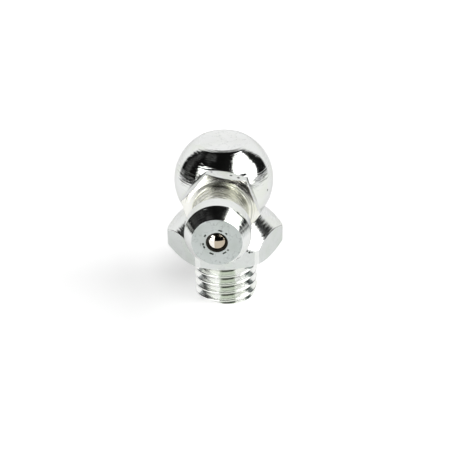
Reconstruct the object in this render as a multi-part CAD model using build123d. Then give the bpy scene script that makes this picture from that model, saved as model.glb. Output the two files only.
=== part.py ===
from build123d import *
from math import atan2, ceil, cos, degrees, hypot, radians, sqrt, tan
import os

# Grease nipple, 90 degree form: an angle body with an M7 x 1 stem, a hexagon and a ball
# shaped head, and a nipple that is pressed into the ball, with a check ball and spring.
# Z is the axis of the threaded stem and the origin is the middle of its end face.
# The nipple points along -Y, square to the stem. Sizes are in millimetres.

# ---- threaded stem ----
stem_d = 6.84  # M7, inside its tolerance
stem_length = 5.7  # end face to the seat under the hexagon
thread_pitch = 1.0
thread_depth = 0.6
thread_start = 1.13  # height of the first root, at the front of the stem
thread_angle = 60.0
thread_crest_width = 0.18
crest_drop = 0.02  # the crests stay this much under the plain collar
end_chamfer = 0.32
collar_length = 1.1  # plain length under the hexagon
collar_lead = 0.35  # height of the cone that the thread runs out on

# ---- hexagon on the stem ----
hexagon_flats = 11.0
hexagon_corners_d = 12.4  # the corners are turned down to this
hexagon_rim = 2.2  # seat to the foot of the top cone
hexagon_turn = 5.0  # degrees off square to the nipple
seat_d = 10.6
seat_bevel_angle = 30.0
top_cone_angle = 45.0

# ---- ball shaped head ----
ball_d = 10.4
nipple_height = 13.7  # end face to the nipple's axis
top_flat_depth = 0.76  # faced off the ball's pole
top_flat_edge = 0.2
ball_foot_fillet = 0.4
spot_face_reach = 4.35  # stem's axis to the face that the nipple seats on

# ---- grease passages in the angle body ----
stem_passage_d = 2.5
passage_countersink = 0.35
cross_bore_d = 4.5
cross_bore_depth = 5.35
drill_point_angle = 118.0

# ---- nipple, from its shank to its neck ----
press_clearance = 0.005
shank_length = 3.15
shank_chamfer = 0.3
shoulder_d = 5.6
shoulder_height = 0.85
nipple_flats = 7.0
nipple_hexagon_height = 1.92
nipple_hexagon_turn = -10.5  # degrees off level, where the pressing left it
back_bevel_d = 6.76
back_bevel_angle = 45.0
front_bevel_d = 6.4
front_bevel_angle = 30.0
root_ring_d = 5.7
root_ring_height = 0.1
flare_length = 1.8
neck_d = 4.8
neck_length = 0.8

# ---- nipple, the head that the coupler grips ----
head_d = 6.5
head_back_angle = 45.0
head_back_edge = 0.12
head_land = 1.5
head_cone_length = 1.4
head_face_d = 4.9

# ---- check valve ----
check_ball_d = 2.38
seat_bore_d = 1.8  # inner edge of the crimped lip
lip_mouth_d = 2.14
lip_depth = 0.18
crimp_mark_d = 2.66  # ring that the crimping punch leaves round the mouth
crimp_mark_width = 0.16
crimp_mark_depth = 0.05
seat_cone_angle = 45.0
ball_seat_gap = 0.03
valve_bore_d = 2.6
valve_bore_length = 6.0
rear_passage_d = 1.5

# ---- valve spring ----
spring_wire_d = 0.26
spring_wire_sides = 6  # of the section that stands for the round wire
spring_coil_d = 1.96  # to the middle of the wire
spring_open_turns = 3
spring_closed_turns = 1  # at each end
spring_closed_pitch = 0.27
spring_ball_gap = 0.03
spring_seat_gap = 0.02

# ---- what follows from the sizes ----
stem_r = stem_d / 2
crest_r = stem_r - crest_drop
root_r = crest_r - thread_depth
flank_height = thread_depth * tan(radians(thread_angle / 2))
collar_bottom = stem_length - collar_length
corner_r = hexagon_corners_d / 2
hexagon_rim_height = stem_length + hexagon_rim

top_flat_height = nipple_height + ball_d / 2 - top_flat_depth

# stations along the nipple, counted outwards from the stem's axis
hexagon_back = spot_face_reach + shoulder_height
hexagon_front = hexagon_back + nipple_hexagon_height
neck_back = hexagon_front + root_ring_height + flare_length
neck_front = neck_back + neck_length
land_back = neck_front + (head_d - neck_d) / 2 / tan(radians(head_back_angle))
land_front = land_back + head_land
face_reach = land_front + head_cone_length
seat_edge_reach = face_reach - lip_depth
seat_cone_length = (valve_bore_d - seat_bore_d) / 2 / tan(radians(seat_cone_angle))
spring_seat_reach = seat_edge_reach - seat_cone_length - valve_bore_length
ball_reach = seat_edge_reach - ball_seat_gap - sqrt(check_ball_d**2 - seat_bore_d**2) / 2

# nipple frame: x to the right, y upwards, z outwards along the nipple
nipple_frame = Plane(origin=(0, 0, nipple_height), x_dir=(1, 0, 0), z_dir=(0, -1, 0))


def turned(*outline):
    """Solid turned about Z from an outline of (radius, height) corners."""
    return revolve(Plane.XZ * make_face(Polyline(*outline, close=True)), Axis.Z)


def bevel(outer_r, inner_r, angle):
    """Height that a turned bevel of this angle takes between two radii."""
    return (outer_r - inner_r) * tan(radians(angle))


def hexagon(flats, bottom, top, turn):
    """Hexagonal bar along Z, one flat square to Y and then turned."""
    section = RegularPolygon(flats / 2, 6, major_radius=False, rotation=turn)
    return Pos(0, 0, bottom) * extrude(section, top - bottom)


def turn_of_helix(radius, height):
    """One right-hand turn of the thread's helix, from this height at the front."""
    helix = Pos(0, 0, height) * Helix(thread_pitch, thread_pitch, radius)
    return helix.edge()


def thread_rod(bottom, turns):
    """Endless thread from the height of its first foot, closed by meridian faces and helicoids."""
    profile = [
        (root_r, 0),
        (crest_r, flank_height),
        (crest_r, flank_height + thread_crest_width),
        (root_r, 2 * flank_height + thread_crest_width),
        (root_r, thread_pitch),
    ]
    faces = []
    for turn in range(turns):
        rise = bottom + turn * thread_pitch
        helices = [turn_of_helix(radius, height + rise) for radius, height in profile]
        faces += [Face.make_surface_from_curves(*pair) for pair in zip(helices, helices[1:])]
    for rise in (bottom, bottom + turns * thread_pitch):
        meridian = [(0, 0), *profile, (0, thread_pitch)]
        faces.append(Face(Wire.make_polygon([(r, 0, z + rise) for r, z in meridian])))
        axis = Edge.make_line((0, 0, rise), (0, 0, rise + thread_pitch))
        faces.append(Face.make_surface_from_curves(axis, turn_of_helix(root_r, rise)))
    return Rot(0, 0, -90) * Solid(Shell(faces))


def threaded_stem():
    """Helical thread with a chamfered end, running out on a cone under a plain collar."""
    root_height = flank_height + thread_crest_width / 2 + thread_pitch / 2
    turns_below = ceil((thread_start - root_height) / thread_pitch) + 1
    bottom = thread_start - root_height - turns_below * thread_pitch
    turns = ceil((collar_bottom - bottom) / thread_pitch)
    thread = Part() + thread_rod(bottom, turns)
    envelope = turned(
        (0, 0),
        (stem_r - end_chamfer, 0),
        (stem_r, end_chamfer),
        (stem_r, collar_bottom),
        (0, collar_bottom),
    )
    collar = turned(
        (0, collar_bottom - collar_lead),
        (root_r - crest_drop, collar_bottom - collar_lead),
        (stem_r, collar_bottom),
        (stem_r, stem_length),
        (0, stem_length),
    )
    return (thread & envelope) + collar


def head():
    """Hexagon, top cone and ball, turned in one piece and then milled to six flats."""
    hexagon_and_cone = make_face(
        Polyline(
            (0, stem_length),
            (seat_d / 2, stem_length),
            (corner_r, stem_length + bevel(corner_r, seat_d / 2, seat_bevel_angle)),
            (corner_r, hexagon_rim_height),
            (0, hexagon_rim_height + bevel(corner_r, 0, top_cone_angle)),
            close=True,
        )
    )
    half = Rectangle(ball_d, top_flat_height, align=(Align.MIN, Align.MIN))
    ball = Pos(0, nipple_height) * Circle(ball_d / 2) & half
    section = hexagon_and_cone + ball
    above_rim = [v for v in section.vertices() if v.X > crest_drop and v.Y > hexagon_rim_height]
    ball_foot, flat_edge = sorted(above_rim, key=lambda v: v.Y)
    section = fillet(ball_foot, ball_foot_fillet)
    section = chamfer(section.vertices().sort_by_distance(flat_edge)[0], top_flat_edge)
    flats = hexagon(hexagon_flats, stem_length, ball_foot.Y, hexagon_turn)
    above = Cylinder(ball_d, top_flat_height, align=(Align.CENTER, Align.CENTER, Align.MIN))
    cleared = Box(ball_d, ball_d, ball_d, align=(Align.CENTER, Align.MIN, Align.MIN))
    turned_head = revolve(Plane.XZ * section, Axis.Z)
    milled = turned_head & (flats + Pos(0, 0, ball_foot.Y) * above)
    spot_face_foot = ball_foot.Y - nipple_height
    return milled - nipple_frame * Pos(0, spot_face_foot, spot_face_reach) * cleared


def grease_passages():
    """Blind cross bore from the spot face, and the passage that comes up the stem into it."""
    bore_r = cross_bore_d / 2
    bore_end = spot_face_reach - cross_bore_depth
    drill_point = bore_end - bore_r / tan(radians(drill_point_angle / 2))
    cross_bore = turned(
        (0, spot_face_reach),
        (bore_r, spot_face_reach),
        (bore_r, bore_end),
        (0, drill_point),
    )
    passage_r = stem_passage_d / 2
    passage = turned(
        (0, 0),
        (passage_r + passage_countersink, 0),
        (passage_r, passage_countersink),
        (passage_r, nipple_height),
        (0, nipple_height),
    )
    return passage + nipple_frame * cross_bore


def angle_body():
    """Stem and head in one piece, drilled through."""
    return threaded_stem() + head() - grease_passages()


def nipple_hexagon():
    """Hexagon of the nipple, bevelled on both faces."""
    tip_r = nipple_flats / 2 / cos(radians(30))
    back_r = back_bevel_d / 2
    front_r = front_bevel_d / 2
    blank = turned(
        (0, hexagon_back),
        (back_r, hexagon_back),
        (tip_r, hexagon_back + bevel(tip_r, back_r, back_bevel_angle)),
        (tip_r, hexagon_front - bevel(tip_r, front_r, front_bevel_angle)),
        (front_r, hexagon_front),
        (0, hexagon_front),
    )
    return blank & hexagon(nipple_flats, hexagon_back, hexagon_front, nipple_hexagon_turn)


def nipple_insert():
    """Shank, hexagon, neck and coupler head, with the lip crimped in over the check ball."""
    shank_back = spot_face_reach - shank_length
    shank_r = cross_bore_d / 2 - press_clearance
    back_of_head = land_back - head_back_edge / tan(radians(head_back_angle))
    shank = turned(
        (0, shank_back),
        (shank_r - shank_chamfer, shank_back),
        (shank_r, shank_back + shank_chamfer),
        (shank_r, spot_face_reach),
        (shoulder_d / 2, spot_face_reach),
        (shoulder_d / 2, hexagon_back),
        (0, hexagon_back),
    )
    coupler_head = turned(
        (0, hexagon_front),
        (root_ring_d / 2, hexagon_front),
        (root_ring_d / 2, hexagon_front + root_ring_height),
        (neck_d / 2, neck_back),
        (neck_d / 2, neck_front),
        (head_d / 2 - head_back_edge, back_of_head),
        (head_d / 2, land_back + head_back_edge),
        (head_d / 2, land_front),
        (head_face_d / 2, face_reach),
        (0, face_reach),
    )
    valve = turned(
        (0, shank_back),
        (rear_passage_d / 2, shank_back),
        (rear_passage_d / 2, spring_seat_reach),
        (valve_bore_d / 2, spring_seat_reach),
        (valve_bore_d / 2, seat_edge_reach - seat_cone_length),
        (seat_bore_d / 2, seat_edge_reach),
        (lip_mouth_d / 2, face_reach),
        (0, face_reach),
    )
    crimp_mark = turned(
        ((crimp_mark_d - crimp_mark_width) / 2, face_reach),
        ((crimp_mark_d + crimp_mark_width) / 2, face_reach),
        (crimp_mark_d / 2, face_reach - crimp_mark_depth),
    )
    return nipple_frame * (shank + nipple_hexagon() + coupler_head - valve - crimp_mark)


def check_ball():
    """Ball that closes the valve against the crimped lip."""
    return nipple_frame * Pos(0, 0, ball_reach) * Sphere(check_ball_d / 2)


def valve_spring():
    """Compression spring with closed ends, between the bore's step and the ball.

    Each half turn is half a ring, tilted so that it ends level with the start of the next.
    """
    coil_r = spring_coil_d / 2
    to_ball = (check_ball_d + spring_wire_d) / 2 + spring_ball_gap
    rear = spring_seat_reach + spring_seat_gap + spring_wire_d / 2
    front = ball_reach - sqrt(to_ball**2 - coil_r**2)
    open_length = front - rear - 2 * spring_closed_turns * spring_closed_pitch
    closed_rises = [spring_closed_pitch / 2] * (2 * spring_closed_turns)
    open_rises = [open_length / spring_open_turns / 2] * (2 * spring_open_turns)
    coils = Part()
    reach = rear
    for half_turn, rise in enumerate(closed_rises + open_rises + closed_rises):
        tilt = degrees(atan2(rise / 2, coil_r))
        wire = Pos(hypot(coil_r, rise / 2), 0) * RegularPolygon(spring_wire_d / 2, spring_wire_sides)
        ring = revolve(Plane.XZ * wire, Axis.Z, 180)
        coils += Pos(0, 0, reach + rise / 2) * Rot(0, 0, 180 * half_turn) * Rot(0, tilt, 0) * ring
        reach += rise
    return nipple_frame * coils


PIECES = {
    "angle_body": angle_body,
    "nipple_insert": nipple_insert,
    "check_ball": check_ball,
    "valve_spring": valve_spring,
}

os.makedirs("parts", exist_ok=True)
for name, make in PIECES.items():
    piece = make()
    piece.label = name
    export_step(piece, f"parts/{name}.step")
    print(name, "volume", round(piece.volume, 2), "valid", piece.is_valid)
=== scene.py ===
"""Right-angle grease nipple in bright zinc plate.

Its pieces are the angle body, the pressed-in nipple, the check ball and the valve spring.
"""

import math

import bmesh
import bpy
import numpy as np
from mathutils import Matrix, Vector


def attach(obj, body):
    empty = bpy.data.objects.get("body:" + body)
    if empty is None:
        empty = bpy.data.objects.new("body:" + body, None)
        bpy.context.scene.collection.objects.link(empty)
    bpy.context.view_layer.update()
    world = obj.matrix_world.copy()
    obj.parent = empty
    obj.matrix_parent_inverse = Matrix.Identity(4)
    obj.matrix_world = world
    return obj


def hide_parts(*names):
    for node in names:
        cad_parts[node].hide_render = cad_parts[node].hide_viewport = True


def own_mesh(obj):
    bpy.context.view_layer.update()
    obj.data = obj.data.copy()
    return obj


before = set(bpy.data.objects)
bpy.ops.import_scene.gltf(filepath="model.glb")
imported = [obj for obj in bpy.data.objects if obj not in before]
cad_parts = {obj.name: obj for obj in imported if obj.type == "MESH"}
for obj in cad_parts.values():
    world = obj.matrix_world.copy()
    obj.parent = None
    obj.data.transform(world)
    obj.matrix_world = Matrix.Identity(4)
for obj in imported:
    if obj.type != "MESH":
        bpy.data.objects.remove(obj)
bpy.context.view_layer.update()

MM = 0.001
FULL_TURN = 2 * math.pi

# angle body, millimetres, stem end on the floor
stem_r = 3.42
stem_length = 5.7
thread_pitch = 1.0
thread_angle = math.radians(60)
thread_start = 1.13
crest_r = 3.40
root_r = 2.80
crest_width = 0.18
stem_chamfer = 0.32
collar_bottom = 4.6
collar_lead_r = 2.78
collar_lead_height = 4.25
seat_r = 5.3
seat_slope = math.radians(30)
hexagon_apothem = 5.5
hexagon_corner_r = 6.2
hexagon_turn = math.radians(5)
hexagon_rim_height = 7.9
ball_r = 5.2
nipple_height = 13.7
foot_fillet_r = 0.4
top_flat_height = 18.14
top_chamfer = 0.2
spot_face_reach = 4.35
cross_bore_r = 2.25
cross_bore_end = -1.0
drill_point = math.radians(59)
stem_passage_r = 1.25
passage_countersink = 0.35
spot_face_r = 3.15
drill_tip_r = 0.002
hexagon_tip_edge = 0.02
hexagon_arris = 0.03
top_cap_r = 1.2  # the middle of the top flat is one face
cone_meets_ball_r = 3.872  # where the hexagon's cone would meet the ball without the fillet
ball_foot_height = hexagon_corner_r + hexagon_rim_height - cone_meets_ball_r

# nipple, millimetres along its own axis from the body's centre line
shank_r = 2.245
shank_end = 1.2
shank_chamfer = 0.3
shoulder_r = 2.8
nipple_hexagon_back = 5.2
nipple_hexagon_front = 7.12
nipple_apothem = 3.5
nipple_turn = math.radians(-10.5)
nipple_tip_edge = 0.12
back_bevel_r = 3.38
front_bevel_r = 3.2
root_ring_r = 2.85
root_ring_front = 7.22
neck_r = 2.4
flare_front = 9.02
neck_front = 9.82
head_r = 3.25
land_front = 12.17
face_reach = 13.57
face_r = 2.45
mouth_r = 1.07
seat_edge_r = 0.9
seat_edge_reach = 13.39
crimp_r = 1.33
crimp_half = 0.08
crimp_depth = 0.05
flat_margin = 0.03
punch_marks = (  # degrees round the mouth, width in degrees
    (75, 8), (46, 5), (147, 7), (188, 5), (203, 6), (246, 10), (302, 9), (322, 4),
)
punch_bite = 0.9
punch_between = 0.2
punch_deepest = 1.1
valve_bore_r = 1.3
spring_seat_reach = 6.99
rear_passage_r = 0.75

# valve
check_ball_r = 1.19
check_ball_reach = 12.5815
spring_wire_r = 0.13
spring_coil_r = 0.98
spring_start = 7.14
spring_end = 11.653
closed_pitch = 0.27
open_turns = 3
closed_turns = 2

# fineness of the meshes
EDGE_STEPS = 3
turned_columns = 240
thread_columns = 200
bore_columns = 128
ball_columns = 96
ball_rows = 97
foot_rows = 9
wire_points_per_turn = 40
wire_sides = 14
same_place = 1e-7  # metres
no_length = 1e-8

# floor, metres from the stem
floor_side = 0.075
floor_front = 0.165
floor_back = 0.11

# camera, degrees and millimetres
view_azimuth = 3.404
view_elevation = 28.829
view_roll = -1.333
view_distance = 129.615
aim_height = 8
aim_right = 0.008
aim_up = 0.119
lens_length = 96.65
film_width = 36
nearest_metres = 0.01

# brightness of the studio's lights; 1 is plain white
room_level = 0.004
haze_level = 0.08
sweep_level = 1.0
large_box_level = 3.5
small_box_level = 2.2
table_level = 0.88
table_behind_level = 0.93
floor_white = 0.75
floor_glow_shaded = 0.27
floor_glow_open = 0.60
floor_glow_in_metal = 0.49

# colours of what lies on the plate, and of painted shade and reflections on it
stain_colour = (0.35, 0.35, 0.30)
groove_dirt = (0.12, 0.12, 0.08)
scratch_colour = (0.20, 0.22, 0.21)
# painted dark reflection along the hexagon's rim edge
rim_painted_dark = (0.16, 0.17, 0.16)
nick_colour = (0.03, 0.03, 0.03)
# painted shade on the check ball: a dark dull patch that hides its reflection at the upper right
painted_shade_colour = (0.06, 0.055, 0.045)
painted_shade_rough = 0.4


def even_columns(count, corner_angles=(), spread=()):
    """Angles round a piece: evenly spaced, with extra ones close to each corner."""
    angles = list(np.arange(count) * FULL_TURN / count)
    for corner in corner_angles:
        for offset in spread:
            angles.append((corner + math.radians(offset)) % FULL_TURN)
    return np.unique(np.round(angles, 6))


def six_corners(turned):
    return [turned + math.radians(60 * k) for k in range(6)]


def hexagon_reach(angles, apothem, turned, tip_edge):
    """Distance from the axis to a hexagon's sides, with its tips rounded; one tip is at the angle turned."""
    across = (angles - turned) % (math.pi / 3) - math.pi / 6
    side = apothem / np.cos(across)
    tip = (apothem - tip_edge) / math.cos(math.pi / 6)
    off_tip = math.pi / 6 - np.abs(across)
    arc = np.sqrt(np.maximum(tip_edge ** 2 - (tip * np.sin(off_tip)) ** 2, 0))
    rounded = tip * np.cos(off_tip) + arc
    near_tip = tip * np.sin(off_tip) < tip_edge / 2
    return np.where(near_tip, rounded, side)


def softer_of(a, b, blend):
    """The smaller of two reaches, with the corner between them eased."""
    return -blend * np.log(np.exp(-a / blend) + np.exp(-b / blend))


def eased_profile(stations, count, closed=False):
    """Rows of a profile from (radius, height, edge) stations, each corner eased by its edge radius."""
    points = np.array([[r * np.ones(count), h * np.ones(count)] for r, h, _ in stations])
    rows = []
    for k, (_, _, edge) in enumerate(stations):
        here = points[k]
        at_end = not closed and k in (0, len(stations) - 1)
        if not edge or at_end:
            rows.append(here)
            continue
        back = points[k - 1] - here
        ahead = points[(k + 1) % len(stations)] - here
        back_length = np.hypot(*back)
        ahead_length = np.hypot(*ahead)
        back = back / back_length
        ahead = ahead / ahead_length
        half = np.arccos(np.clip((back * ahead).sum(0), -1, 1)) / 2
        reach = np.minimum(edge / np.tan(half), 0.45 * np.minimum(back_length, ahead_length))
        for s in np.linspace(0, 1, EDGE_STEPS + 1):
            rows.append(here + back * reach * (1 - s) ** 2 + ahead * reach * s ** 2)
    return np.array(rows)


def standing(angles, rows):
    """Points of profile rows turned about the upright axis."""
    radius, height = rows[:, 0], rows[:, 1]
    return np.stack([radius * np.cos(angles), radius * np.sin(angles), height], axis=-1)


def lying(angles, rows):
    """Points of profile rows turned about the nipple's axis, which points to the front."""
    radius, reach = rows[:, 0], rows[:, 1]
    up = nipple_height + radius * np.sin(angles)
    return np.stack([radius * np.cos(angles), -reach, up], axis=-1)


def skinned(name, points, closed=False, wrap_rows=0):
    """A closed mesh through rows of points; wrap_rows shifts the seam of a screw thread by one turn."""
    rows, count = points.shape[:2]
    shell = bmesh.new()
    verts = [[shell.verts.new(p * MM) for p in row] for row in points]
    spans = rows if closed else rows - 1
    for k in range(spans):
        for i in range(count):
            shift = wrap_rows if i == count - 1 else 0
            ahead = (i + 1) % count
            upper = (k + 1) % rows
            corners = [
                verts[k][i],
                verts[min(k + shift, rows - 1)][ahead],
                verts[min(upper + shift, rows - 1)][ahead],
                verts[upper][i],
            ]
            if len(set(corners)) == 4:
                shell.faces.new(corners)
    if not closed:
        shell.faces.new(verts[0][::-1])
        shell.faces.new(verts[-1])
    bmesh.ops.remove_doubles(shell, verts=shell.verts, dist=same_place)
    bmesh.ops.dissolve_degenerate(shell, edges=shell.edges, dist=no_length)
    bmesh.ops.recalc_face_normals(shell, faces=shell.faces)
    mesh = bpy.data.meshes.new(name)
    shell.to_mesh(mesh)
    shell.free()
    piece = bpy.data.objects.new(name, mesh)
    bpy.context.scene.collection.objects.link(piece)
    return piece


def machined(piece, tool, operation):
    """Adds or cuts a tool's shape and throws the tool away."""
    change = piece.modifiers.new("machining", "BOOLEAN")
    change.operation = operation
    change.solver = "EXACT"
    change.object = tool
    seen = bpy.context.evaluated_depsgraph_get()
    mesh = bpy.data.meshes.new_from_object(piece.evaluated_get(seen))
    piece.modifiers.clear()
    piece.data = mesh
    bpy.data.objects.remove(tool)


def smooth_with_edges(piece, degrees):
    """Smooth shading, with edges kept where faces meet at more than the given degrees."""
    piece.data.shade_smooth()
    piece.data.set_sharp_from_angle(angle=math.radians(degrees))


def thread_section():
    """One pitch of the thread as eased (radius, advance) points, from root centre to root centre."""
    flank = (crest_r - root_r) * math.tan(thread_angle / 2)
    root_half = (thread_pitch - crest_width - 2 * flank) / 2
    stations = [
        (root_r, 0.0, 0),
        (root_r, root_half, 0.14),
        (crest_r, root_half + flank, 0.16),
        (crest_r, root_half + flank + crest_width, 0.16),
        (root_r, thread_pitch - root_half, 0.14),
        (root_r, thread_pitch, 0),
    ]
    rows = eased_profile(stations, 1)
    return rows[:-1, 0, 0], rows[:-1, 1, 0]


def threaded_rod():
    """A length of thread, longer than the stem at both ends."""
    low, high = -0.7, collar_bottom + 0.5
    turns = 10
    turns_below = 4
    radii, advances = thread_section()
    angles = even_columns(thread_columns)
    front = (angles + math.pi / 2) % FULL_TURN
    order = np.argsort(front)
    angles, front = angles[order], front[order]
    root_height = thread_start - turns_below * thread_pitch + thread_pitch * front / FULL_TURN
    rows = []
    for turn in range(turns):
        for advance in advances:
            height = np.clip(root_height + turn * thread_pitch + advance, low, high)
            phase = (height - root_height) % thread_pitch
            radius = np.interp(phase, np.append(advances, thread_pitch), np.append(radii, root_r))
            rows.append([radius, height])
    return skinned("threaded_rod", standing(angles, np.array(rows)), wrap_rows=len(advances))


def stem():
    """The thread within the stem's own outline, with its end chamfer."""
    rod = threaded_rod()
    blank_r = stem_r + 0.3
    end_r = stem_r - stem_chamfer
    outline = [(end_r, 0, 0), (blank_r, blank_r - end_r, 0), (blank_r, stem_length, 0)]
    angles = even_columns(thread_columns)
    blank = skinned("stem_blank", standing(angles, eased_profile(outline, len(angles))))
    machined(rod, blank, "INTERSECT")
    return rod


def foot_arc(count):
    """Stations of the fillet where the ball stands on the hexagon's cone, and the ball's latitude there."""
    cone_sum = hexagon_corner_r + hexagon_rim_height + foot_fillet_r * math.sqrt(2)
    shifted = cone_sum - nipple_height
    spread = math.sqrt(2 * (ball_r + foot_fillet_r) ** 2 - shifted ** 2)
    centre_r = (shifted + spread) / 2
    centre_height = nipple_height + (shifted - spread) / 2
    to_ball = math.atan2(nipple_height - centre_height, -centre_r)
    square_to_cone = math.radians(225)
    stations = [
        (centre_r + foot_fillet_r * math.cos(a), centre_height + foot_fillet_r * math.sin(a), 0)
        for a in np.linspace(square_to_cone, to_ball, count)
    ]
    return stations, math.atan2(centre_height - nipple_height, centre_r)


def upper_body():
    """Collar, seat, hexagon, foot and ball as one turned and milled form."""
    land = math.degrees(math.acos(hexagon_apothem / hexagon_corner_r))
    off = 30 - land
    close_by = (-1.2, -0.6, -0.25, 0, 0.25, 0.6, 1.2)
    spread = [s * (off + e) for s in (-1, 1) for e in close_by] + [0]
    angles = even_columns(turned_columns, six_corners(hexagon_turn), spread)
    side = hexagon_reach(angles, hexagon_apothem, hexagon_turn, hexagon_tip_edge)
    side = softer_of(side, np.full_like(side, hexagon_corner_r), hexagon_arris)
    foot, foot_latitude = foot_arc(foot_rows)
    corner_latitude = math.asin((top_flat_height - nipple_height) / ball_r)
    top_latitude = corner_latitude - top_chamfer / ball_r
    ball = [
        (ball_r * math.cos(a), nipple_height + ball_r * math.sin(a), 0)
        for a in np.linspace(foot_latitude, top_latitude, ball_rows)[1:-1]
    ]
    stations = [
        (collar_lead_r, collar_lead_height, 0),
        (stem_r, collar_bottom, 0.03),
        (stem_r, stem_length, 0.08),
        (seat_r, stem_length, 0.05),
        (side, stem_length + (side - seat_r) * math.tan(seat_slope), 0.05),
        (side, hexagon_rim_height + hexagon_corner_r - side, 0.06),
        *foot,
        *ball,
        (ball_r * math.cos(top_latitude), nipple_height + ball_r * math.sin(top_latitude), 0.05),
        (ball_r * math.cos(corner_latitude) - top_chamfer, top_flat_height, 0.05),
        (top_cap_r, top_flat_height, 0),
    ]
    return skinned("angle_body_steel", standing(angles, eased_profile(stations, len(angles))))


def bored(profile, name, turn=lying):
    """A cutter for a bore: a profile turned about the nipple's axis, or about the one given."""
    angles = even_columns(bore_columns)
    return skinned(name, turn(angles, eased_profile(profile, len(angles))))


def angle_body():
    """The stem and the upper body in one, with the spot face and both drillings cut."""
    body = upper_body()
    machined(body, stem(), "UNION")
    spot = [(spot_face_r, spot_face_reach, 0), (spot_face_r, ball_r + 1, 0)]
    machined(body, bored(spot, "spot_face_cutter"), "DIFFERENCE")
    point = cross_bore_r / math.tan(drill_point)
    cross = [
        (drill_tip_r, cross_bore_end - point, 0),
        (cross_bore_r, cross_bore_end, 0),
        (cross_bore_r, ball_r, 0),
    ]
    machined(body, bored(cross, "cross_drill"), "DIFFERENCE")
    wide = stem_passage_r + passage_countersink
    upward = [
        (wide + 0.2, -0.2, 0),
        (stem_passage_r, passage_countersink, 0),
        (stem_passage_r, nipple_height, 0),
    ]
    machined(body, bored(upward, "stem_drill", standing), "DIFFERENCE")
    smooth_with_edges(body, 25)
    return body


def punched(angles):
    """How deep the crimping punch has bitten round the mouth: 1 in its marks, little between them."""
    depth = np.full(len(angles), punch_between)
    for middle, width in punch_marks:
        off = (np.degrees(angles) - middle + 180) % 360 - 180
        depth += punch_bite * np.exp(-(off / width) ** 2)
    return np.minimum(depth, punch_deepest)


def nipple_insert():
    """The pressed-in nipple: shank, hexagon, neck, coupler head and bores, one closed profile."""
    close_by = (-1.4, -0.9, -0.6, -0.3, 0, 0.3, 0.6, 0.9, 1.4)
    angles = even_columns(turned_columns, six_corners(nipple_turn), close_by)
    side = hexagon_reach(angles, nipple_apothem, nipple_turn, nipple_tip_edge)
    land_back = neck_front + head_r - neck_r
    stations = [
        (rear_passage_r, shank_end, 0.03),
        (shank_r - shank_chamfer, shank_end, 0.03),
        (shank_r, shank_end + shank_chamfer, 0.03),
        (shank_r, spot_face_reach, 0),
        (shoulder_r, spot_face_reach, 0.03),
        (shoulder_r, nipple_hexagon_back, 0.05),
        (back_bevel_r, nipple_hexagon_back, 0.04),
        (side, nipple_hexagon_back + side - back_bevel_r, 0.05),
        (side, nipple_hexagon_front - (side - front_bevel_r) * math.tan(seat_slope), 0.05),
        (front_bevel_r, nipple_hexagon_front, 0.04),
        (root_ring_r, nipple_hexagon_front, 0.03),
        (root_ring_r, root_ring_front, 0.03),
        (neck_r, flare_front, 0.8),
        (neck_r, neck_front, 0.1),
        (head_r, land_back, 0.12),
        (head_r, land_front, 0.05),
        (face_r, face_reach, 0.06),
        (crimp_r + crimp_half + flat_margin, face_reach, 0),
        (crimp_r + crimp_half, face_reach, 0),
        (crimp_r, face_reach - crimp_depth * punched(angles), 0),
        (crimp_r - crimp_half, face_reach, 0),
        (crimp_r - crimp_half - flat_margin, face_reach, 0),
        (mouth_r, face_reach, 0.03),
        (seat_edge_r, seat_edge_reach, 0.02),
        (valve_bore_r, seat_edge_reach - (valve_bore_r - seat_edge_r), 0),
        (valve_bore_r, spring_seat_reach, 0.02),
        (rear_passage_r, spring_seat_reach, 0.02),
    ]
    rows = eased_profile(stations, len(angles), closed=True)
    piece = skinned("nipple_steel", lying(angles, rows), closed=True)
    smooth_with_edges(piece, 25)
    return piece


def check_ball():
    """The ball that closes the mouth, its poles on the nipple's axis."""
    angles = even_columns(ball_columns)
    stations = [
        (check_ball_r * math.cos(a), check_ball_reach + check_ball_r * math.sin(a), 0)
        for a in np.linspace(-math.pi / 2, math.pi / 2, ball_rows)[1:-1]
    ]
    piece = skinned("check_ball_steel", lying(angles, eased_profile(stations, len(angles))))
    smooth_with_edges(piece, 40)
    return piece


def feed(tree, socket, value):
    """Sets a socket to a number or a colour, or links it to where its value comes from."""
    if isinstance(value, (int, float)):
        socket.default_value = value
    elif isinstance(value, tuple):
        socket.default_value = (*value, 1)
    else:
        tree.links.new(value, socket)


def math_node(tree, operation, first, second=0.0):
    node = tree.nodes.new("ShaderNodeMath")
    node.operation = operation
    feed(tree, node.inputs[0], first)
    feed(tree, node.inputs[1], second)
    return node.outputs[0]


def joined_by(operation):
    """A function that joins two or more values by one operation, from left to right."""
    def join(tree, first, *others):
        for other in others:
            first = math_node(tree, operation, first, other)
        return first
    return join


product = joined_by("MULTIPLY")
total = joined_by("ADD")
less = joined_by("SUBTRACT")
larger = joined_by("MAXIMUM")
smaller = joined_by("MINIMUM")


def vector_of(tree, x, y, z=0.0):
    node = tree.nodes.new("ShaderNodeCombineXYZ")
    for socket, value in zip(node.inputs, (x, y, z)):
        feed(tree, socket, value)
    return node.outputs[0]


def separated(tree, vector):
    node = tree.nodes.new("ShaderNodeSeparateXYZ")
    tree.links.new(vector, node.inputs[0])
    return node.outputs


spring_sizes = {
    "Coil Radius": spring_coil_r * MM,
    "Wire Radius": spring_wire_r * MM,
    "Free Length": (spring_end - spring_start) * MM,
    "Closed Pitch": closed_pitch * MM,
    "Open Turns": float(open_turns),
}


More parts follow.
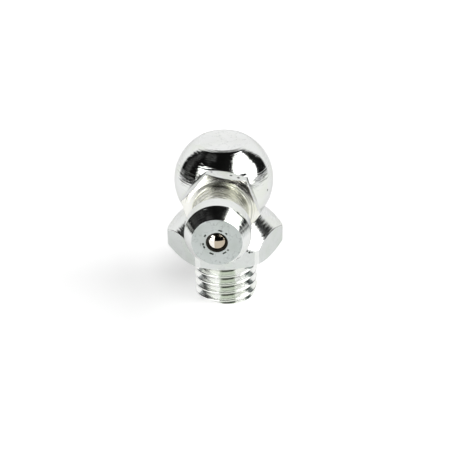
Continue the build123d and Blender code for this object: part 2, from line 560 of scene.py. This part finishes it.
def coil_tree(material):
    """Geometry nodes for a compression spring: a wire that follows its coil, with closed end turns."""
    tree = bpy.data.node_groups.new("compression_spring", "GeometryNodeTree")
    for label in spring_sizes:
        tree.interface.new_socket(label, in_out="INPUT", socket_type="NodeSocketFloat")
    tree.interface.new_socket("Geometry", in_out="OUTPUT", socket_type="NodeSocketGeometry")
    inputs = tree.nodes.new("NodeGroupInput").outputs
    line = tree.nodes.new("GeometryNodeMeshLine")
    line.inputs["Count"].default_value = wire_points_per_turn * (open_turns + closed_turns) + 1
    index = tree.nodes.new("GeometryNodeInputIndex").outputs[0]
    turns = math_node(tree, "DIVIDE", index, float(wire_points_per_turn))
    angle = product(tree, turns, FULL_TURN)
    across = product(tree, math_node(tree, "COSINE", angle), inputs["Coil Radius"])
    upward = product(tree, math_node(tree, "SINE", angle), inputs["Coil Radius"])
    closed_rise = product(tree, inputs["Closed Pitch"], float(closed_turns))
    open_rise = less(tree, inputs["Free Length"], closed_rise)
    opened = smaller(tree, larger(tree, less(tree, turns, 1.0), 0.0), inputs["Open Turns"])
    closed = less(tree, turns, opened)
    open_share = math_node(tree, "DIVIDE", opened, inputs["Open Turns"])
    along = total(
        tree,
        product(tree, closed, inputs["Closed Pitch"]),
        product(tree, open_share, open_rise),
    )
    back = less(tree, -spring_start * MM, along)
    place = vector_of(tree, across, back, total(tree, upward, nipple_height * MM))
    moved = tree.nodes.new("GeometryNodeSetPosition")
    tree.links.new(line.outputs["Mesh"], moved.inputs["Geometry"])
    tree.links.new(place, moved.inputs["Position"])
    path = tree.nodes.new("GeometryNodeMeshToCurve")
    tree.links.new(moved.outputs[0], path.inputs["Mesh"])
    wire = tree.nodes.new("GeometryNodeCurvePrimitiveCircle")
    wire.inputs["Resolution"].default_value = wire_sides
    tree.links.new(inputs["Wire Radius"], wire.inputs["Radius"])
    swept = tree.nodes.new("GeometryNodeCurveToMesh")
    swept.inputs["Fill Caps"].default_value = True
    tree.links.new(path.outputs["Curve"], swept.inputs["Curve"])
    tree.links.new(wire.outputs["Curve"], swept.inputs["Profile Curve"])
    real = tree.nodes.new("GeometryNodeRealizeInstances")
    tree.links.new(swept.outputs["Mesh"], real.inputs["Geometry"])
    finish = tree.nodes.new("GeometryNodeSetMaterial")
    finish.inputs["Material"].default_value = material
    tree.links.new(real.outputs["Geometry"], finish.inputs["Geometry"])
    output = tree.nodes.new("NodeGroupOutput")
    tree.links.new(finish.outputs["Geometry"], output.inputs["Geometry"])
    return tree


def valve_spring(material):
    """The spring behind the ball, made by its tree and kept as a plain mesh."""
    mesh = bpy.data.meshes.new("valve_spring_wire")
    piece = bpy.data.objects.new("valve_spring_wire", mesh)
    bpy.context.scene.collection.objects.link(piece)
    coil = piece.modifiers.new("coil", "NODES")
    coil.node_group = coil_tree(material)
    for socket in coil.node_group.interface.items_tree:
        if socket.in_out == "INPUT":
            coil[socket.identifier] = spring_sizes[socket.name]
    seen = bpy.context.evaluated_depsgraph_get()
    made = bpy.data.meshes.new_from_object(piece.evaluated_get(seen))
    piece.modifiers.clear()
    piece.data = made
    smooth_with_edges(piece, 50)
    return piece


def eased_step(tree, value, low, high):
    """0 below low, 1 above high, smooth between; low may be the larger."""
    node = tree.nodes.new("ShaderNodeMapRange")
    node.interpolation_type = "SMOOTHSTEP"
    node.inputs["From Min"].default_value = low
    node.inputs["From Max"].default_value = high
    tree.links.new(value, node.inputs["Value"])
    return node.outputs["Result"]


def window(tree, value, low, high, edge):
    """1 between low and high, falling to 0 over edge at each side."""
    return product(
        tree,
        eased_step(tree, value, low - edge, low + edge),
        eased_step(tree, value, high + edge, high - edge),
    )


def laid_over(tree, under, mask, level):
    """The level where the mask is 1, what is under it elsewhere."""
    node = tree.nodes.new("ShaderNodeMix")
    tree.links.new(mask, node.inputs["Factor"])
    feed(tree, node.inputs["A"], under)
    feed(tree, node.inputs["B"], level)
    return node.outputs["Result"]


def new_material(name):
    material = bpy.data.materials.new(name)
    material.use_nodes = True
    return material, material.node_tree, material.node_tree.nodes["Principled BSDF"]


def place_in_mm(tree, lying_down):
    """Distance from the piece's own axis, distance along it, and the point itself, in millimetres."""
    point = tree.nodes.new("ShaderNodeTexCoord").outputs["Object"]
    scaled = tree.nodes.new("ShaderNodeMapping")
    scaled.inputs["Scale"].default_value = (1 / MM, 1 / MM, 1 / MM)
    if lying_down:
        scaled.inputs["Location"].default_value = (0, 0, -nipple_height)
    tree.links.new(point, scaled.inputs["Vector"])
    x, y, z = separated(tree, scaled.outputs[0])
    across, along = (z, y) if lying_down else (y, z)
    squares = total(tree, product(tree, x, x), product(tree, across, across))
    return math_node(tree, "SQRT", squares), along, scaled.outputs[0]


def bearing(tree, point, lying_down):
    """Degrees round the piece's axis: 0 at the front of an upright piece, at the top of a lying one."""
    x, y, z = separated(tree, point)
    start = z if lying_down else product(tree, y, -1.0)
    return math_node(tree, "DEGREES", math_node(tree, "ARCTAN2", x, start))


def noise(tree, vector, scale, detail=2.0, rough=0.5):
    node = tree.nodes.new("ShaderNodeTexNoise")
    node.inputs["Scale"].default_value = scale
    node.inputs["Detail"].default_value = detail
    node.inputs["Roughness"].default_value = rough
    tree.links.new(vector, node.inputs["Vector"])
    return node.outputs["Fac"]


def between(tree, factor, low, high):
    """A number that goes from low to high as factor goes from 0 to 1."""
    node = tree.nodes.new("ShaderNodeMapRange")
    node.inputs["To Min"].default_value = low
    node.inputs["To Max"].default_value = high
    tree.links.new(factor, node.inputs["Value"])
    return node.outputs["Result"]


def mixed_colour(tree, factor, first, second):
    node = tree.nodes.new("ShaderNodeMix")
    node.data_type = "RGBA"
    tree.links.new(factor, node.inputs["Factor"])
    feed(tree, node.inputs["A"], first)
    feed(tree, node.inputs["B"], second)
    return node.outputs["Result"]


def thin_lines(tree, pattern, width):
    """1 on the thin wandering lines where a pattern crosses its middle value."""
    off = math_node(tree, "ABSOLUTE", less(tree, pattern, 0.5))
    return eased_step(tree, off, width, width * 0.3)


def painted_and_grimed(tree, colour, painted_light_and_grime, wavering, radius, smeared):
    """Lays colours over a colour by bearing and radius: painted shade, painted reflections, painted
    highlights and patches of grime.

    Each is (bearing from, to, softness), (radius from, to), (strength, how broken up), colour.
    """
    for (start, stop, edge), (near, far), (strength, patchy), laid_colour in painted_light_and_grime:
        spread = product(
            tree,
            window(tree, wavering, start, stop, edge),
            window(tree, radius, near, far, 0.05),
        )
        broken = between(tree, eased_step(tree, smeared, 0.40, 0.58), strength * (1 - patchy), strength)
        colour = mixed_colour(tree, product(tree, spread, broken), colour, laid_colour)
    return colour


def rim_lined(tree, colour, rim_line, wavering, radius, along, smeared):
    """A broken dark line painted along a hexagon's rim, where its edge shows a dark reflection; the rim is
    given by its turn in degrees, apothem and height.
    """
    turned_by, apothem, rim = rim_line
    fold = math_node(tree, "MODULO", total(tree, wavering, 360 + 30 - turned_by), 60.0)
    off_middle = math_node(tree, "RADIANS", less(tree, fold, 30.0))
    to_side = product(tree, radius, math_node(tree, "COSINE", off_middle))
    line = product(
        tree,
        window(tree, to_side, apothem - 0.07, apothem + 0.05, 0.03),
        between(tree, eased_step(tree, smeared, 0.35, 0.6), 0.25, 0.8),
        eased_step(tree, along, rim, rim + 0.1),
    )
    return mixed_colour(tree, line, colour, rim_painted_dark)


def nicked(tree, colour, marks, point, lowered, specks):
    """Dark nicks with ragged edges, each an x, y, z and size in millimetres."""
    for x, y, z, size in marks:
        spot = tree.nodes.new("ShaderNodeVectorMath")
        spot.operation = "DISTANCE"
        spot.inputs[1].default_value = (x, y, z - lowered)
        tree.links.new(point, spot.inputs[0])
        ragged = total(tree, spot.outputs["Value"], between(tree, specks, -size * 0.8, size * 0.8))
        colour = mixed_colour(tree, eased_step(tree, ragged, size, size * 0.55), colour, nick_colour)
    return colour


def zinc_plate(name, rough, stretch, groove, depth, lying_down=False, ringed=0.0, scratched=0.0,
               light=(0.83, 0.845, 0.83), tinted=(0.79, 0.815, 0.76), painted_light_and_grime=(), rim_line=None, marks=()):
    """Bright zinc plate over turned or milled steel.

    rough is the range of its roughness, stretch how far a gloss is drawn out across the tool grooves,
    groove their fineness and depth their depth in millimetres. The plate goes from light to tinted in
    patches, with stains, and takes dirt in its grooves, scratches and nicks. Laid over it are colours
    that are painted shade, painted reflections, painted highlights and grime, and a broken dark line
    painted along a rim where its edge shows a dark reflection.
    """
    material, tree, shader = new_material(name)
    radius, along, point = place_in_mm(tree, lying_down)
    sideways = product(tree, separated(tree, point)[0], 0.12)
    rings = vector_of(tree, radius, along, sideways)
    grooves = noise(tree, rings, groove, detail=2.5, rough=0.55)
    patches = noise(tree, point, 0.45, detail=3)
    colour = mixed_colour(tree, eased_step(tree, patches, 0.42, 0.68), light, tinted)
    specks = noise(tree, point, 3.5, detail=5, rough=0.7)
    stain = product(tree, eased_step(tree, specks, 0.66, 0.80), 0.35)
    colour = mixed_colour(tree, stain, colour, stain_colour)
    if ringed:
        dark_ring = product(tree, eased_step(tree, grooves, 0.50, 0.34), ringed)
        colour = mixed_colour(tree, dark_ring, colour, groove_dirt)
    if scratched:
        lines = thin_lines(tree, noise(tree, point, 0.9, detail=2.5, rough=0.6), 0.012)
        colour = mixed_colour(tree, product(tree, lines, scratched), colour, scratch_colour)
    wavering = total(tree, bearing(tree, point, lying_down), between(tree, specks, -2.5, 2.5))
    smeared = noise(tree, rings, 9.0, detail=4, rough=0.75)
    # painted shade, painted reflections and painted highlights, with some grime, laid by bearing and radius
    colour = painted_and_grimed(tree, colour, painted_light_and_grime, wavering, radius, smeared)
    if rim_line:
        colour = rim_lined(tree, colour, rim_line, wavering, radius, along, smeared)
    colour = nicked(tree, colour, marks, point, nipple_height if lying_down else 0, specks)
    tree.links.new(colour, shader.inputs["Base Color"])
    shader.inputs["Metallic"].default_value = 1
    shader.inputs["Specular Tint"].default_value = (0.82, 0.82, 0.82, 1)
    shader.inputs["Anisotropic"].default_value = stretch
    glossed = between(tree, noise(tree, rings, 2.0, detail=3), *rough)
    tree.links.new(glossed, shader.inputs["Roughness"])
    around = tree.nodes.new("ShaderNodeTangent")
    around.direction_type = "RADIAL"
    around.axis = "Y" if lying_down else "Z"
    tree.links.new(around.outputs[0], shader.inputs["Tangent"])
    bump = tree.nodes.new("ShaderNodeBump")
    bump.inputs["Strength"].default_value = 1
    bump.inputs["Distance"].default_value = depth * MM
    tree.links.new(grooves, bump.inputs["Height"])
    tree.links.new(bump.outputs[0], shader.inputs["Normal"])
    return material


def plain_steel(name, colour, rough, speck):
    """Bare steel with a fine grain, darkened by speck where the grain is full."""
    material, tree, shader = new_material(name)
    point = tree.nodes.new("ShaderNodeTexCoord").outputs["Object"]
    grain = noise(tree, point, 900.0, detail=3)
    darker = tuple(c * speck for c in colour)
    tree.links.new(mixed_colour(tree, grain, colour, darker), shader.inputs["Base Color"])
    tree.links.new(between(tree, grain, rough * 0.8, rough * 1.3), shader.inputs["Roughness"])
    shader.inputs["Metallic"].default_value = 1
    return material


def ball_with_painted_light(name, colour, bright, rough):
    """Polished steel with a straw tint, with a painted highlight over its left and painted shade, dull and
    rough, at its upper right.
    """
    material, tree, shader = new_material(name)
    radius, _, point = place_in_mm(tree, True)
    grain = noise(tree, point, 0.9, detail=3)
    tone = mixed_colour(tree, grain, colour, tuple(c * 0.94 for c in colour))
    # painted highlight: the ball's left is laid near white, standing for a bright reflection there
    tone = mixed_colour(tree, eased_step(tree, separated(tree, point)[0], -0.15, -0.30), tone, bright)
    # painted shade: a dark dull patch at the upper right, where it hides the reflection
    painted_shade = product(
        tree,
        window(tree, bearing(tree, point, True), 8, 62, 5),
        window(tree, radius, 0.68, 1.2, 0.05),
        eased_step(tree, noise(tree, point, 7.0, detail=3), 0.53, 0.48),
    )
    tree.links.new(mixed_colour(tree, painted_shade, tone, painted_shade_colour), shader.inputs["Base Color"])
    tree.links.new(between(tree, painted_shade, rough, painted_shade_rough), shader.inputs["Roughness"])
    shader.inputs["Metallic"].default_value = 1
    return material


def dress(piece, materials, choose):
    """Gives each face the material that choose() names for its place and direction, in millimetres."""
    piece.data.materials.clear()
    for material in materials.values():
        piece.data.materials.append(material)
    faces = piece.data.polygons
    centres = np.empty(len(faces) * 3)
    normals = np.empty(len(faces) * 3)
    faces.foreach_get("center", centres)
    faces.foreach_get("normal", normals)
    chosen = choose(centres.reshape(-1, 3) / MM, normals.reshape(-1, 3))
    places = {label: place for place, label in enumerate(materials)}
    faces.foreach_set("material_index", np.array([places[label] for label in chosen], dtype=np.int32))


def body_finish(centre, normal):
    """The finish of each face of the angle body."""
    radius = np.hypot(centre[:, 0], centre[:, 1])
    height = centre[:, 2]
    upward = normal[:, 2]
    from_nipple = np.hypot(centre[:, 0], height - nipple_height)
    below_ball = height < ball_foot_height
    finish = np.full(len(centre), "turned", dtype=object)
    on_side = (radius > hexagon_apothem - 0.05) & (radius < hexagon_corner_r - 0.02)
    finish[(np.abs(upward) < 0.02) & on_side & below_ball] = "flats"
    finish[height > top_flat_height - 0.01] = "top"
    at_45_degrees = np.abs(upward - math.sqrt(0.5)) < 0.03
    finish[at_45_degrees & (height > hexagon_rim_height) & below_ball] = "shoulder"
    finish[(height < collar_bottom) & (radius > stem_passage_r + 0.05)] = "thread"
    passage = (radius < stem_passage_r + 0.02) & (height < nipple_height) & (height > 0.01)
    past_spot_face = (centre[:, 1] > -spot_face_reach + 0.01) & (centre[:, 1] < 2.5)
    cross = (from_nipple < cross_bore_r + 0.01) & past_spot_face
    finish[passage | (cross & (radius < ball_r - 0.2))] = "bores"
    return finish


def nipple_finish(centre, normal):
    """The finish of each face of the nipple."""
    reach = -centre[:, 1]
    radius = np.hypot(centre[:, 0], centre[:, 2] - nipple_height)
    finish = np.full(len(centre), "head", dtype=object)
    finish[(reach < neck_front) & (reach > nipple_hexagon_front - 0.02)] = "neck"
    on_hexagon = (reach > nipple_hexagon_back - 0.01) & (reach < nipple_hexagon_front + 0.01)
    on_side = (radius > front_bevel_r - 0.02) & (normal[:, 1] >= -0.3)
    finish[on_hexagon] = "neck"
    finish[on_hexagon & on_side] = "hexagon"
    at_face = reach > face_reach - crimp_depth * 1.2
    finish[at_face & (radius < face_r)] = "face"
    in_ring = (np.abs(radius - crimp_r) < crimp_half * 1.2) & at_face
    finish[in_ring & (normal[:, 1] > -0.93)] = "crimp"
    in_valve_bore = (radius < valve_bore_r + 0.01) & (reach < seat_edge_reach)
    finish[(radius < mouth_r - 0.01) | in_valve_bore] = "bores"
    return finish


# painted shade: the drillings, the mouth, the valve seat and the valve bore are laid near black
dark_bore = plain_steel("drilled_bore", (0.05, 0.048, 0.04), 0.5, 0.6)
rim_line = (math.degrees(hexagon_turn), hexagon_apothem, hexagon_rim_height)
nick_marks = ((2.55, -5.30, 8.0, 0.13), (2.8, -5.28, 7.82, 0.14), (3.05, -5.26, 7.80, 0.10))
body = angle_body()
dress(body, {
    "turned": zinc_plate(
        "zinc_turned", rough=(0.05, 0.09), stretch=0.85, groove=4.0, depth=0.035,
        marks=((4.63, -2.37, 13.59, 0.13), (-2.1, -4.25, 15.85, 0.45)),
    ),
    "top": zinc_plate(
        "zinc_top_flat", rough=(0.30, 0.42), stretch=0.2, groove=5.0, depth=0.02, scratched=0.25,
        light=(0.95, 0.96, 0.95), tinted=(0.92, 0.935, 0.91),
    ),
    "shoulder": zinc_plate(
        "zinc_shoulder_cone", rough=(0.08, 0.13), stretch=0.85, groove=6.0, depth=0.035,
        rim_line=rim_line, marks=nick_marks,
    ),
    "flats": zinc_plate(
        "zinc_milled_flats", rough=(0.26, 0.36), stretch=0.2, groove=3.0, depth=0.012, scratched=0.15,
        light=(0.73, 0.755, 0.74), tinted=(0.69, 0.73, 0.69), marks=nick_marks,
    ),
    "thread": zinc_plate(
        "zinc_thread", rough=(0.14, 0.22), stretch=0.7, groove=7.0, depth=0.006,
        light=(0.94, 0.95, 0.93), tinted=(0.91, 0.93, 0.88),
        # Painted light: the first lays grey-green over the front of the thread and the next two lay dark
        # patches at its sides, all painted reflections; the last two darken the thread's roots at the front,
        # painted shade.
        painted_light_and_grime=(
            ((-10, 22, 2), (0, 9), (0.9, 0.1), (0.70, 0.75, 0.66)),
            ((-60, -50, 2), (2.86, 3.38), (0.7, 0.2), (0.14, 0.17, 0.17)),
            ((51, 65, 3), (2.86, 3.38), (0.8, 0.1), (0.18, 0.23, 0.22)),
            ((-7, 21, 4), (2.7, 2.93), (0.95, 0.4), (0.08, 0.09, 0.07)),
            ((-80, 80, 5), (2.7, 2.86), (0.5, 0.4), (0.20, 0.21, 0.18)),
        ),
    ),
    "bores": dark_bore,
}, body_finish)
insert = nipple_insert()
dress(insert, {
    "head": zinc_plate(
        "zinc_head", lying_down=True, rough=(0.08, 0.14), stretch=0.8, groove=6.0, depth=0.025,
        # Painted light: the first darkens the cone at the upper right and the other two darken the land at
        # the right and at the left, all painted darker reflections.
        painted_light_and_grime=(
            ((50, 80, 6), (2.5, 3.22), (0.5, 0.6), (0.30, 0.34, 0.34)),
            ((66, 170, 8), (3.2, 3.4), (0.9, 0.2), (0.34, 0.37, 0.36)),
            ((-170, -72, 8), (3.2, 3.4), (0.85, 0.3), (0.48, 0.51, 0.50)),
        ),
    ),
    "neck": zinc_plate(
        "zinc_neck_grooved", lying_down=True, rough=(0.20, 0.30), stretch=0.5, groove=7.0, depth=0.035,
        ringed=0.5, light=(0.90, 0.905, 0.84), tinted=(0.78, 0.79, 0.66),
        painted_light_and_grime=(
            # The first four are mottled darker grime on the neck and the hexagon's front bevel; the last is
            # a painted highlight, a near-white patch over the left of the neck and its bevels.
            ((-20, 26, 9), (2.5, 3.0), (0.4, 0.7), (0.26, 0.26, 0.19)),
            ((-75, 85, 10), (2.5, 2.8), (0.3, 0.9), (0.32, 0.32, 0.22)),
            ((-10, 74, 6), (3.38, 3.74), (0.85, 0.85), (0.09, 0.08, 0.05)),
            ((-6, 76, 5), (2.95, 3.17), (0.7, 0.8), (0.16, 0.16, 0.11)),
            ((-120, -28, 8), (2.80, 4.0), (0.9, 0.2), (0.97, 0.97, 0.92)),
        ),
    ),
    "hexagon": zinc_plate(
        "zinc_nipple_hexagon", lying_down=True, rough=(0.10, 0.20), stretch=0.3, groove=3.0, depth=0.004,
        light=(0.76, 0.775, 0.76), tinted=(0.70, 0.73, 0.66), scratched=0.2,
        marks=((-0.85, -5.95, 17.42, 0.12), (1.08, -6.0, 17.06, 0.2), (1.83, -6.22, 16.92, 0.18)),
    ),
    # painted shade: the face's plate is laid darker than the rest of the plate, a painted darker reflection
    # of the floor in front; its scratches are real
    "face": zinc_plate(
        "zinc_face", lying_down=True, rough=(0.30, 0.42), stretch=0.3, groove=5.0, depth=0.004,
        light=(0.60, 0.64, 0.625), tinted=(0.54, 0.585, 0.555), scratched=0.45,
    ),
    "crimp": plain_steel("crimp_shadow", (0.10, 0.115, 0.10), 0.4, 0.5),
    "bores": dark_bore,
}, nipple_finish)
ball = check_ball()
polish = ball_with_painted_light("polished_ball", (0.54, 0.465, 0.36), (0.93, 0.90, 0.84), 0.05)
dress(ball, {"ball": polish}, lambda centre, normal: ["ball"] * len(centre))
spring = valve_spring(plain_steel("spring_wire", (0.42, 0.42, 0.42), 0.3, 0.7))

for piece, node, moving, slot in (
    (body, "angle_body", "fitting", "zinc_plated_steel"),
    (insert, "nipple_insert", "fitting", "zinc_plated_steel"),
    (ball, "check_ball", "ball", "bearing_steel"),
    (spring, "valve_spring", "fitting", "spring_steel"),
):
    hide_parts(node)
    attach(piece, moving)
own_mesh(spring)


def camera():
    """The camera, aimed at the middle of the stem's axis and rolled a little."""
    azimuth, elevation, roll = (math.radians(a) for a in (view_azimuth, view_elevation, view_roll))
    level = math.cos(elevation)
    toward = Vector((math.sin(azimuth) * level, -math.cos(azimuth) * level, math.sin(elevation)))
    right = Vector((math.cos(azimuth), math.sin(azimuth), 0))
    up = right.cross(-toward)
    rolled_right = math.cos(roll) * right + math.sin(roll) * up
    rolled_up = -math.sin(roll) * right + math.cos(roll) * up
    aim = Vector((0, 0, aim_height))
    place = aim + toward * view_distance + rolled_right * aim_right + rolled_up * aim_up
    data = bpy.data.cameras.new("camera")
    data.lens = lens_length
    data.sensor_width = film_width
    data.clip_start = nearest_metres
    seat = bpy.data.objects.new("camera", data)
    turn = Matrix((rolled_right, rolled_up, toward)).transposed()
    seat.matrix_world = Matrix.Translation(place * MM) @ turn.to_4x4()
    bpy.context.scene.collection.objects.link(seat)
    bpy.context.scene.camera = seat


def studio_light():
    """A dark room with a white sweep behind, a large soft box at the right and a small one at the left.

    A direction's side is its bearing in degrees, 0 at the front and 90 at the right, and its height is
    its elevation. The lights' edges are set on these two, and some of them lean or sag.
    """
    world = bpy.data.worlds.new("studio")
    world.use_nodes = True
    tree = world.node_tree
    background = tree.nodes["Background"]
    x, y, z = separated(tree, tree.nodes.new("ShaderNodeTexCoord").outputs["Generated"])
    side = math_node(tree, "DEGREES", math_node(tree, "ARCTAN2", x, product(tree, y, -1.0)))
    height = math_node(tree, "DEGREES", math_node(tree, "ARCSINE", z))
    off_front = math_node(tree, "ABSOLUTE", side)
    off_back = math_node(tree, "ABSOLUTE", less(tree, side, 4.0))

    def past(value, edge, slope):
        """How far a value is past an edge, times a slope: what a leaning edge moves by."""
        return product(tree, larger(tree, less(tree, value, edge), 0.0), slope)

    def short_of(value, edge, slope):
        """How far a value falls short of an edge, times a slope."""
        return product(tree, larger(tree, less(tree, edge, value), 0.0), slope)

    # a faint streaked haze, high up at the left and lower further round
    streaks = noise(tree, vector_of(tree, product(tree, side, 0.25), height), 0.12, detail=3)
    high_haze = product(tree, window(tree, side, -90, -40, 8), window(tree, height, 55, 71, 5))
    low_haze = product(tree, window(tree, side, -110, -92, 4), window(tree, height, 10, 50, 5))
    haze = product(tree, larger(tree, high_haze, low_haze), eased_step(tree, streaks, 0.38, 0.58))
    level = laid_over(tree, room_level, haze, haze_level)

    # the white sweep behind, its right edge spreading a little higher up
    spreading = product(tree, smaller(tree, past(height, 15.0, 0.4), 5.0), eased_step(tree, side, 0, 60))
    sweep = product(
        tree,
        eased_step(tree, total(tree, off_back, spreading), 123.5, 127),
        eased_step(tree, height, 60, 42),
    )
    level = laid_over(tree, level, sweep, sweep_level)

    # height over the table's far edge, which drops to the back and lies deeper in front
    drop = past(off_front, 83.0, 0.28)
    lift = product(tree, eased_step(tree, off_front, 80, 50), 13.0)
    horizon = total(tree, height, drop, lift)

    # the large soft box, its left edge leaning in above and below, its top sagging at the right
    leaning = smaller(tree, short_of(height, 34.0, 4.0), 32.0)
    swung = total(tree, past(height, 47.0, 1.5), past(height, 62.0, 1.2))
    left_edge = less(tree, side, swung, leaning)
    right_edge = total(tree, less(tree, side, past(height, 38.0, 0.7)), short_of(height, 20.0, 0.9))
    sagging = total(tree, height, past(side, 75.0, 0.2))
    large_box = product(
        tree,
        eased_step(tree, left_edge, 31.5, 34.5),
        eased_step(tree, right_edge, 99.0, 97.0),
        eased_step(tree, horizon, 6.0, 8.0),
        eased_step(tree, sagging, 66.0, 62.0),
    )
    level = laid_over(tree, level, large_box, large_box_level)

    # the small soft box, its outer edge drawn in at the waist
    top_edge = total(tree, height, short_of(side, -55.0, 0.35))
    upper_part = product(tree, eased_step(tree, height, 19, 23), 19.0)
    waist = product(tree, eased_step(tree, height, 6, 11), 14.0)
    outer = total(tree, side, less(tree, upper_part, waist))
    small_box = product(
        tree,
        window(tree, outer, -66, 40, 1.5),
        window(tree, top_edge, -15, 38.5, 1.5),
        eased_step(tree, side, -22, -26),
    )
    level = laid_over(tree, level, small_box, small_box_level)

    # the table, with a band of light along its far edge
    table_edge = window(tree, horizon, 2.2, 7.0, 0.8)
    edge_level = between(tree, eased_step(tree, side, -20, 20), 0.14, 0.75)
    far_left = product(tree, eased_step(tree, side, -98, -108), 0.45)
    level = laid_over(tree, level, table_edge, larger(tree, edge_level, far_left))
    left_lower = total(tree, horizon, product(tree, eased_step(tree, side, 20, -20), 3.0))
    level = laid_over(tree, level, eased_step(tree, left_lower, -1.0, -2.5), table_level)
    behind = product(tree, eased_step(tree, height, 2, 0), eased_step(tree, off_back, 123, 126.5))
    level = laid_over(tree, level, behind, table_behind_level)

    for_camera = tree.nodes.new("ShaderNodeLightPath").outputs["Is Camera Ray"]
    level = laid_over(tree, level, for_camera, 1.0)
    tree.links.new(level, background.inputs["Strength"])
    background.inputs["Color"].default_value = (1, 1, 1, 1)
    bpy.context.scene.world = world


def floor():
    """A plain pale floor that keeps the object's soft shadow; its glow is weaker in the object's shade."""
    shell = bmesh.new()
    for x, y in ((-1, -floor_front), (1, -floor_front), (1, floor_back), (-1, floor_back)):
        shell.verts.new((x * floor_side, y, 0))
    shell.faces.new(shell.verts)
    mesh = bpy.data.meshes.new("floor")
    shell.to_mesh(mesh)
    shell.free()
    sheet = bpy.data.objects.new("floor", mesh)
    bpy.context.scene.collection.objects.link(sheet)
    paper = bpy.data.materials.new("floor_paper")
    paper.use_nodes = True
    tree = paper.node_tree
    tree.nodes.remove(tree.nodes["Principled BSDF"])
    matte = tree.nodes.new("ShaderNodeBsdfDiffuse")
    matte.inputs["Color"].default_value = (floor_white, floor_white, floor_white, 1)
    # the shade is an oval behind the object's left
    shade = tree.nodes.new("ShaderNodeMapping")
    shade.inputs["Location"].default_value = (4.5, -6, 0)
    shade.inputs["Scale"].default_value = (1.5 / MM, 1 / MM, 1 / MM)
    tree.links.new(tree.nodes.new("ShaderNodeTexCoord").outputs["Object"], shade.inputs["Vector"])
    off_shade = tree.nodes.new("ShaderNodeVectorMath")
    off_shade.operation = "LENGTH"
    tree.links.new(shade.outputs[0], off_shade.inputs[0])
    leaving_shade = eased_step(tree, off_shade.outputs["Value"], 0, 11)
    backdrop = between(tree, leaving_shade, floor_glow_shaded, floor_glow_open)
    ray = tree.nodes.new("ShaderNodeLightPath").outputs
    for_camera = product(tree, ray["Is Camera Ray"], backdrop)
    for_metal = larger(tree, ray["Is Glossy Ray"], ray["Is Transmission Ray"])
    seen = larger(tree, for_camera, product(tree, for_metal, floor_glow_in_metal))
    glow = tree.nodes.new("ShaderNodeEmission")
    tree.links.new(seen, glow.inputs["Strength"])
    both = tree.nodes.new("ShaderNodeAddShader")
    tree.links.new(matte.outputs[0], both.inputs[0])
    tree.links.new(glow.outputs[0], both.inputs[1])
    tree.links.new(both.outputs[0], tree.nodes["Material Output"].inputs["Surface"])
    mesh.materials.append(paper)


camera()
bpy.context.scene.view_settings.view_transform = "Standard"
studio_light()
floor()
